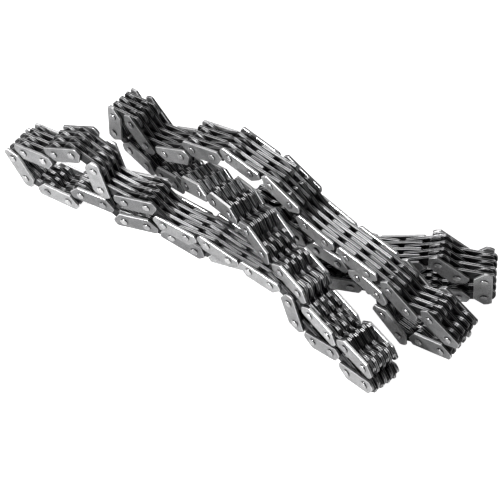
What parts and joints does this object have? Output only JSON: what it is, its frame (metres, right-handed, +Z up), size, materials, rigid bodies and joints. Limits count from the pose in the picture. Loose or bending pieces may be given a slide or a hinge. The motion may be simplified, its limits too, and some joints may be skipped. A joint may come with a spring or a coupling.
{
  "type": "timing chain",
  "caption": "Closed inverted-tooth timing chain of riveted leaf and guide plates on round pins, lying folded in a loose heap.",
  "frame": {"origin": "bottom centre of the whole heap, on the surface it lies on", "axes": "+X runs along the heap's longest side, to the right in the picture; +Z is up; -Y is towards the viewer"},
  "size_m": [0.1796, 0.124, 0.0453],
  "materials": {
    "chain_steel": "hardened spring steel, blanked and tumbled, bright on worn edges"
  },
  "bodies": {
    "link_01": {"link_01": "chain_steel"},
    "link_02": {"link_02": "chain_steel"},
    "link_03": {"link_03": "chain_steel"},
    "link_04": {"link_04": "chain_steel"},
    "link_05": {"link_05": "chain_steel"},
    "link_06": {"link_06": "chain_steel"},
    "link_07": {"link_07": "chain_steel"},
    "link_08": {"link_08": "chain_steel"},
    "link_09": {"link_09": "chain_steel"},
    "link_10": {"link_10": "chain_steel"},
    "link_11": {"link_11": "chain_steel"},
    "link_12": {"link_12": "chain_steel"},
    "link_13": {"link_13": "chain_steel"},
    "link_14": {"link_14": "chain_steel"},
    "link_15": {"link_15": "chain_steel"},
    "link_16": {"link_16": "chain_steel"},
    "link_17": {"link_17": "chain_steel"},
    "link_18": {"link_18": "chain_steel"},
    "link_19": {"link_19": "chain_steel"},
    "link_20": {"link_20": "chain_steel"},
    "link_21": {"link_21": "chain_steel"},
    "link_22": {"link_22": "chain_steel"},
    "link_23": {"link_23": "chain_steel"},
    "link_24": {"link_24": "chain_steel"},
    "link_25": {"link_25": "chain_steel"},
    "link_26": {"link_26": "chain_steel"},
    "link_27": {"link_27": "chain_steel"},
    "link_28": {"link_28": "chain_steel"},
    "link_29": {"link_29": "chain_steel"},
    "link_30": {"link_30": "chain_steel"},
    "link_31": {"link_31": "chain_steel"},
    "link_32": {"link_32": "chain_steel"},
    "link_33": {"link_33": "chain_steel"},
    "link_34": {"link_34": "chain_steel"},
    "link_35": {"link_35": "chain_steel"},
    "link_36": {"link_36": "chain_steel"},
    "link_37": {"link_37": "chain_steel"},
    "link_38": {"link_38": "chain_steel"},
    "link_39": {"link_39": "chain_steel"},
    "link_40": {"link_40": "chain_steel"},
    "link_41": {"link_41": "chain_steel"},
    "link_42": {"link_42": "chain_steel"},
    "link_43": {"link_43": "chain_steel"},
    "link_44": {"link_44": "chain_steel"},
    "link_45": {"link_45": "chain_steel"},
    "link_46": {"link_46": "chain_steel"},
    "link_47": {"link_47": "chain_steel"},
    "link_48": {"link_48": "chain_steel"},
    "link_49": {"link_49": "chain_steel"}
  },
  "joints": [
    {"name": "pin_42_43", "type": "hinge", "parent": "link_42", "child": "link_43", "pos_m": [0.01929, -0.00432, 0.00306], "axis": [0.2419, 0.9703, 0], "range_deg": [-2.48, 2.48]},
    {"name": "pin_43_44", "type": "hinge", "parent": "link_43", "child": "link_44", "pos_m": [0.00088, 0.00058, 0.00322], "axis": [0.3035, 0.9528, 0], "range_deg": [-5, 5]},
    {"name": "pin_44_45", "type": "hinge", "parent": "link_44", "child": "link_45", "pos_m": [-0.01713, 0.00664, 0.00438], "axis": [0.3638, 0.9315, 0], "range_deg": [-3.52, 3.52]},
    {"name": "pin_45_46", "type": "hinge", "parent": "link_45", "child": "link_46", "pos_m": [-0.03386, 0.01349, 0.00991], "axis": [0.4226, 0.9063, 0], "range_deg": [-1.65, 1.65]},
    {"name": "pin_46_47", "type": "hinge", "parent": "link_46", "child": "link_47", "pos_m": [-0.04947, 0.02108, 0.01282], "axis": [0.4848, 0.8746, 0], "range_deg": [-0.77, 0.77]},
    {"name": "pin_47_48", "type": "hinge", "parent": "link_47", "child": "link_48", "pos_m": [-0.06247, 0.02851, 0.00452], "axis": [0.5446, 0.8387, 0], "range_deg": [-0.77, 0.77]},
    {"name": "pin_48_49", "type": "hinge", "parent": "link_48", "child": "link_49", "pos_m": [-0.07818, 0.0391, 0.00452], "axis": [0.6018, 0.7986, 0], "range_deg": [-2.64, 2.64]},
    {"name": "pin_49_01", "type": "hinge", "parent": "link_49", "child": "link_01", "pos_m": [-0.07804, 0.03906, 0.02003], "axis": [0.5878, 0.809, 0], "range_deg": [-5.09, 5.09]},
    {"name": "pin_01_02", "type": "hinge", "parent": "link_01", "child": "link_02", "pos_m": [-0.06626, 0.03065, 0.03016], "axis": [0.5495, 0.8355, 0], "range_deg": [-5, 5]},
    {"name": "pin_02_03", "type": "hinge", "parent": "link_02", "child": "link_03", "pos_m": [-0.05188, 0.02144, 0.0321], "axis": [0.51, 0.8601, 0], "range_deg": [-1.89, 1.89]},
    {"name": "pin_03_04", "type": "hinge", "parent": "link_03", "child": "link_04", "pos_m": [-0.04141, 0.01549, 0.02174], "axis": [0.4695, 0.8829, 0], "range_deg": [-0.73, 0.69]},
    {"name": "pin_04_05", "type": "hinge", "parent": "link_04", "child": "link_05", "pos_m": [-0.02703, 0.00758, 0.01837], "axis": [0.525, 0.8511, 0], "range_deg": [-1.15, 1.08]},
    {"name": "pin_05_06", "type": "hinge", "parent": "link_05", "child": "link_06", "pos_m": [-0.01114, -0.00257, 0.01968], "axis": [0.5783, 0.8158, 0], "range_deg": [-4.7, 5]},
    {"name": "pin_06_07", "type": "hinge", "parent": "link_06", "child": "link_07", "pos_m": [0.00412, -0.01376, 0.01919], "axis": [0.6293, 0.7771, 0], "range_deg": [-3.97, 3.73]},
    {"name": "pin_07_08", "type": "hinge", "parent": "link_07", "child": "link_08", "pos_m": [0.01832, -0.02566, 0.01625], "axis": [0.682, 0.7314, 0], "range_deg": [-0.69, 0.74]},
    {"name": "pin_08_09", "type": "hinge", "parent": "link_08", "child": "link_09", "pos_m": [0.02725, -0.03443, 0.00458], "axis": [0.7314, 0.682, 0], "range_deg": [-0.57, 0.77]},
    {"name": "pin_09_10", "type": "hinge", "parent": "link_09", "child": "link_10", "pos_m": [0.03923, -0.04773, 0.00458], "axis": [0.7771, 0.6293, 0], "range_deg": [-0.73, 0.98]},
    {"name": "pin_10_11", "type": "hinge", "parent": "link_10", "child": "link_11", "pos_m": [0.04406, -0.05371, 0.01711], "axis": [0.7698, 0.6383, 0], "range_deg": [-1.03, 1.39]},
    {"name": "pin_11_12", "type": "hinge", "parent": "link_11", "child": "link_12", "pos_m": [0.0321, -0.03937, 0.01564], "axis": [0.7623, 0.6472, 0], "range_deg": [-5, 3.7]},
    {"name": "pin_12_13", "type": "hinge", "parent": "link_12", "child": "link_13", "pos_m": [0.02181, -0.02731, 0.02442], "axis": [0.7547, 0.6561, 0], "range_deg": [-1.46, 1.97]},
    {"name": "pin_13_14", "type": "hinge", "parent": "link_13", "child": "link_14", "pos_m": [0.00966, -0.01308, 0.02772], "axis": [0.7771, 0.6293, 0], "range_deg": [-0.98, 0.98]},
    {"name": "pin_14_15", "type": "hinge", "parent": "link_14", "child": "link_15", "pos_m": [-0.00164, 0.00113, 0.03158], "axis": [0.7986, 0.6018, 0], "range_deg": [-3.53, 3.53]},
    {"name": "pin_15_16", "type": "hinge", "parent": "link_15", "child": "link_16", "pos_m": [-0.01222, 0.01543, 0.02493], "axis": [0.8192, 0.5736, 0], "range_deg": [-4.3, 4.3]},
    {"name": "pin_16_17", "type": "hinge", "parent": "link_16", "child": "link_17", "pos_m": [-0.02113, 0.0278, 0.01365], "axis": [0.7844, 0.6202, 0], "range_deg": [-1.83, 1.83]},
    {"name": "pin_42_41", "type": "hinge", "parent": "link_42", "child": "link_41", "pos_m": [0.03794, -0.0082, 0.00306], "axis": [0.1908, 0.9816, 0], "range_deg": [-2.96, 2.96]},
    {"name": "pin_41_40", "type": "hinge", "parent": "link_41", "child": "link_40", "pos_m": [0.05676, -0.0111, 0.00306], "axis": [0.1392, 0.9903, 0], "range_deg": [-5, 5]},
    {"name": "pin_40_39", "type": "hinge", "parent": "link_40", "child": "link_39", "pos_m": [0.07571, -0.013, 0.00355], "axis": [0.0872, 0.9962, 0], "range_deg": [-1.77, 1.77]},
    {"name": "pin_39_38", "type": "hinge", "parent": "link_39", "child": "link_38", "pos_m": [0.08445, -0.01394, 0.01422], "axis": [0.1276, 0.9918, 0], "range_deg": [-1.13, 1.13]},
    {"name": "pin_38_37", "type": "hinge", "parent": "link_38", "child": "link_37", "pos_m": [0.06787, -0.01131, 0.02117], "axis": [0.1679, 0.9858, 0], "range_deg": [-0.77, 0.77]},
    {"name": "pin_37_36", "type": "hinge", "parent": "link_37", "child": "link_36", "pos_m": [0.05054, -0.00776, 0.01419], "axis": [0.2129, 0.9771, 0], "range_deg": [-2.12, 2]},
    {"name": "pin_36_35", "type": "hinge", "parent": "link_36", "child": "link_35", "pos_m": [0.03231, -0.00243, 0.01318], "axis": [0.3028, 0.9531, 0], "range_deg": [-4.7, 5]},
    {"name": "pin_35_34", "type": "hinge", "parent": "link_35", "child": "link_34", "pos_m": [0.01461, 0.00459, 0.01316], "axis": [0.3901, 0.9208, 0], "range_deg": [-3.21, 3.02]},
    {"name": "pin_34_33", "type": "hinge", "parent": "link_34", "child": "link_33", "pos_m": [0.00471, 0.00941, 0.0224], "axis": [0.474, 0.8806, 0], "range_deg": [-0.96, 1.02]},
    {"name": "pin_33_32", "type": "hinge", "parent": "link_33", "child": "link_32", "pos_m": [0.02044, -0.00052, 0.02147], "axis": [0.5537, 0.8327, 0], "range_deg": [-0.77, 0.72]},
    {"name": "pin_32_31", "type": "hinge", "parent": "link_32", "child": "link_31", "pos_m": [0.03552, -0.01214, 0.02152], "axis": [0.6287, 0.7776, 0], "range_deg": [-1.17, 0.73]},
    {"name": "pin_31_30", "type": "hinge", "parent": "link_31", "child": "link_30", "pos_m": [0.04942, -0.02502, 0.01988], "axis": [0.6947, 0.7193, 0], "range_deg": [-1.41, 0.88]},
    {"name": "pin_30_29", "type": "hinge", "parent": "link_30", "child": "link_29", "pos_m": [0.05713, -0.03188, 0.00513], "axis": [0.6604, 0.7509, 0], "range_deg": [-2.56, 4.12]},
    {"name": "pin_29_28", "type": "hinge", "parent": "link_29", "child": "link_28", "pos_m": [0.07069, -0.04298, 0.01238], "axis": [0.6248, 0.7808, 0], "range_deg": [-5, 3.1]},
    {"name": "pin_28_27", "type": "hinge", "parent": "link_28", "child": "link_27", "pos_m": [0.06573, -0.03943, 0.02675], "axis": [0.5878, 0.809, 0], "range_deg": [-2.21, 3.57]},
    {"name": "pin_27_26", "type": "hinge", "parent": "link_27", "child": "link_26", "pos_m": [0.05233, -0.02898, 0.02883], "axis": [0.6248, 0.7808, 0], "range_deg": [-2.46, 2.46]},
    {"name": "pin_26_25", "type": "hinge", "parent": "link_26", "child": "link_25", "pos_m": [0.03806, -0.01672, 0.03148], "axis": [0.6604, 0.7509, 0], "range_deg": [-5, 5]},
    {"name": "pin_25_24", "type": "hinge", "parent": "link_25", "child": "link_24", "pos_m": [0.02423, -0.00367, 0.03214], "axis": [0.6947, 0.7193, 0], "range_deg": [-2.06, 2.06]},
    {"name": "pin_24_23", "type": "hinge", "parent": "link_24", "child": "link_23", "pos_m": [0.01185, 0.00755, 0.04084], "axis": [0.6648, 0.747, 0], "range_deg": [-1.36, 1.36]},
    {"name": "pin_23_22", "type": "hinge", "parent": "link_23", "child": "link_22", "pos_m": [-0.0027, 0.01973, 0.04117], "axis": [0.6338, 0.7735, 0], "range_deg": [-0.77, 0.77]},
    {"name": "pin_22_21", "type": "hinge", "parent": "link_22", "child": "link_21", "pos_m": [-0.01619, 0.0301, 0.03297], "axis": [0.6018, 0.7986, 0], "range_deg": [-2.12, 2.12]},
    {"name": "pin_21_20", "type": "hinge", "parent": "link_21", "child": "link_20", "pos_m": [-0.02622, 0.03826, 0.01971], "axis": [0.6383, 0.7698, 0], "range_deg": [-2.5, 2.5]},
    {"name": "pin_20_19", "type": "hinge", "parent": "link_20", "child": "link_19", "pos_m": [-0.03845, 0.04912, 0.02289], "axis": [0.6734, 0.7392, 0], "range_deg": [-1.86, 1.86]},
    {"name": "pin_19_18", "type": "hinge", "parent": "link_19", "child": "link_18", "pos_m": [-0.04496, 0.05534, 0.01026], "axis": [0.7071, 0.7071, 0], "range_deg": [-2.26, 2.26]}
  ],
  "couplings": [
    {"joint": "pin_42_43", "follows": "pin_43_44", "ratio": -0.4859},
    {"joint": "pin_44_45", "follows": "pin_43_44", "ratio": -0.6899},
    {"joint": "pin_45_46", "follows": "pin_43_44", "ratio": 0.3236},
    {"joint": "pin_46_47", "follows": "pin_43_44", "ratio": -0.1501},
    {"joint": "pin_47_48", "follows": "pin_01_02", "ratio": -0.1499},
    {"joint": "pin_48_49", "follows": "pin_01_02", "ratio": 0.5163},
    {"joint": "pin_49_01", "follows": "pin_01_02", "ratio": -0.9978},
    {"joint": "pin_02_03", "follows": "pin_01_02", "ratio": -0.3698},
    {"joint": "pin_03_04", "follows": "pin_05_06", "ratio": -0.1437},
    {"joint": "pin_04_05", "follows": "pin_05_06", "ratio": -0.225},
    {"joint": "pin_06_07", "follows": "pin_05_06", "ratio": -0.7775},
    {"joint": "pin_07_08", "follows": "pin_05_06", "ratio": 0.1438},
    {"joint": "pin_08_09", "follows": "pin_11_12", "ratio": -0.1511},
    {"joint": "pin_09_10", "follows": "pin_11_12", "ratio": -0.1918},
    {"joint": "pin_10_11", "follows": "pin_11_12", "ratio": -0.2711},
    {"joint": "pin_12_13", "follows": "pin_11_12", "ratio": -0.3864},
    {"joint": "pin_13_14", "follows": "pin_15_16", "ratio": 0.2225},
    {"joint": "pin_14_15", "follows": "pin_15_16", "ratio": -0.8052},
    {"joint": "pin_16_17", "follows": "pin_15_16", "ratio": -0.4167},
    {"joint": "pin_42_41", "follows": "pin_41_40", "ratio": -0.5796},
    {"joint": "pin_40_39", "follows": "pin_41_40", "ratio": -0.3469},
    {"joint": "pin_39_38", "follows": "pin_41_40", "ratio": -0.2217},
    {"joint": "pin_38_37", "follows": "pin_41_40", "ratio": 0.1502},
    {"joint": "pin_37_36", "follows": "pin_36_35", "ratio": -0.4158},
    {"joint": "pin_35_34", "follows": "pin_36_35", "ratio": -0.6296},
    {"joint": "pin_34_33", "follows": "pin_36_35", "ratio": 0.1989},
    {"joint": "pin_33_32", "follows": "pin_36_35", "ratio": -0.1504},
    {"joint": "pin_32_31", "follows": "pin_29_28", "ratio": 0.229},
    {"joint": "pin_31_30", "follows": "pin_29_28", "ratio": 0.2767},
    {"joint": "pin_30_29", "follows": "pin_29_28", "ratio": -0.8073},
    {"joint": "pin_28_27", "follows": "pin_29_28", "ratio": -0.6994},
    {"joint": "pin_27_26", "follows": "pin_26_25", "ratio": -0.4813},
    {"joint": "pin_25_24", "follows": "pin_26_25", "ratio": -0.4026},
    {"joint": "pin_24_23", "follows": "pin_26_25", "ratio": -0.266},
    {"joint": "pin_23_22", "follows": "pin_26_25", "ratio": 0.1503},
    {"joint": "pin_22_21", "follows": "pin_21_20", "ratio": -0.8284},
    {"joint": "pin_20_19", "follows": "pin_21_20", "ratio": 0.7277},
    {"joint": "pin_19_18", "follows": "pin_21_20", "ratio": -0.8846}
  ]
}
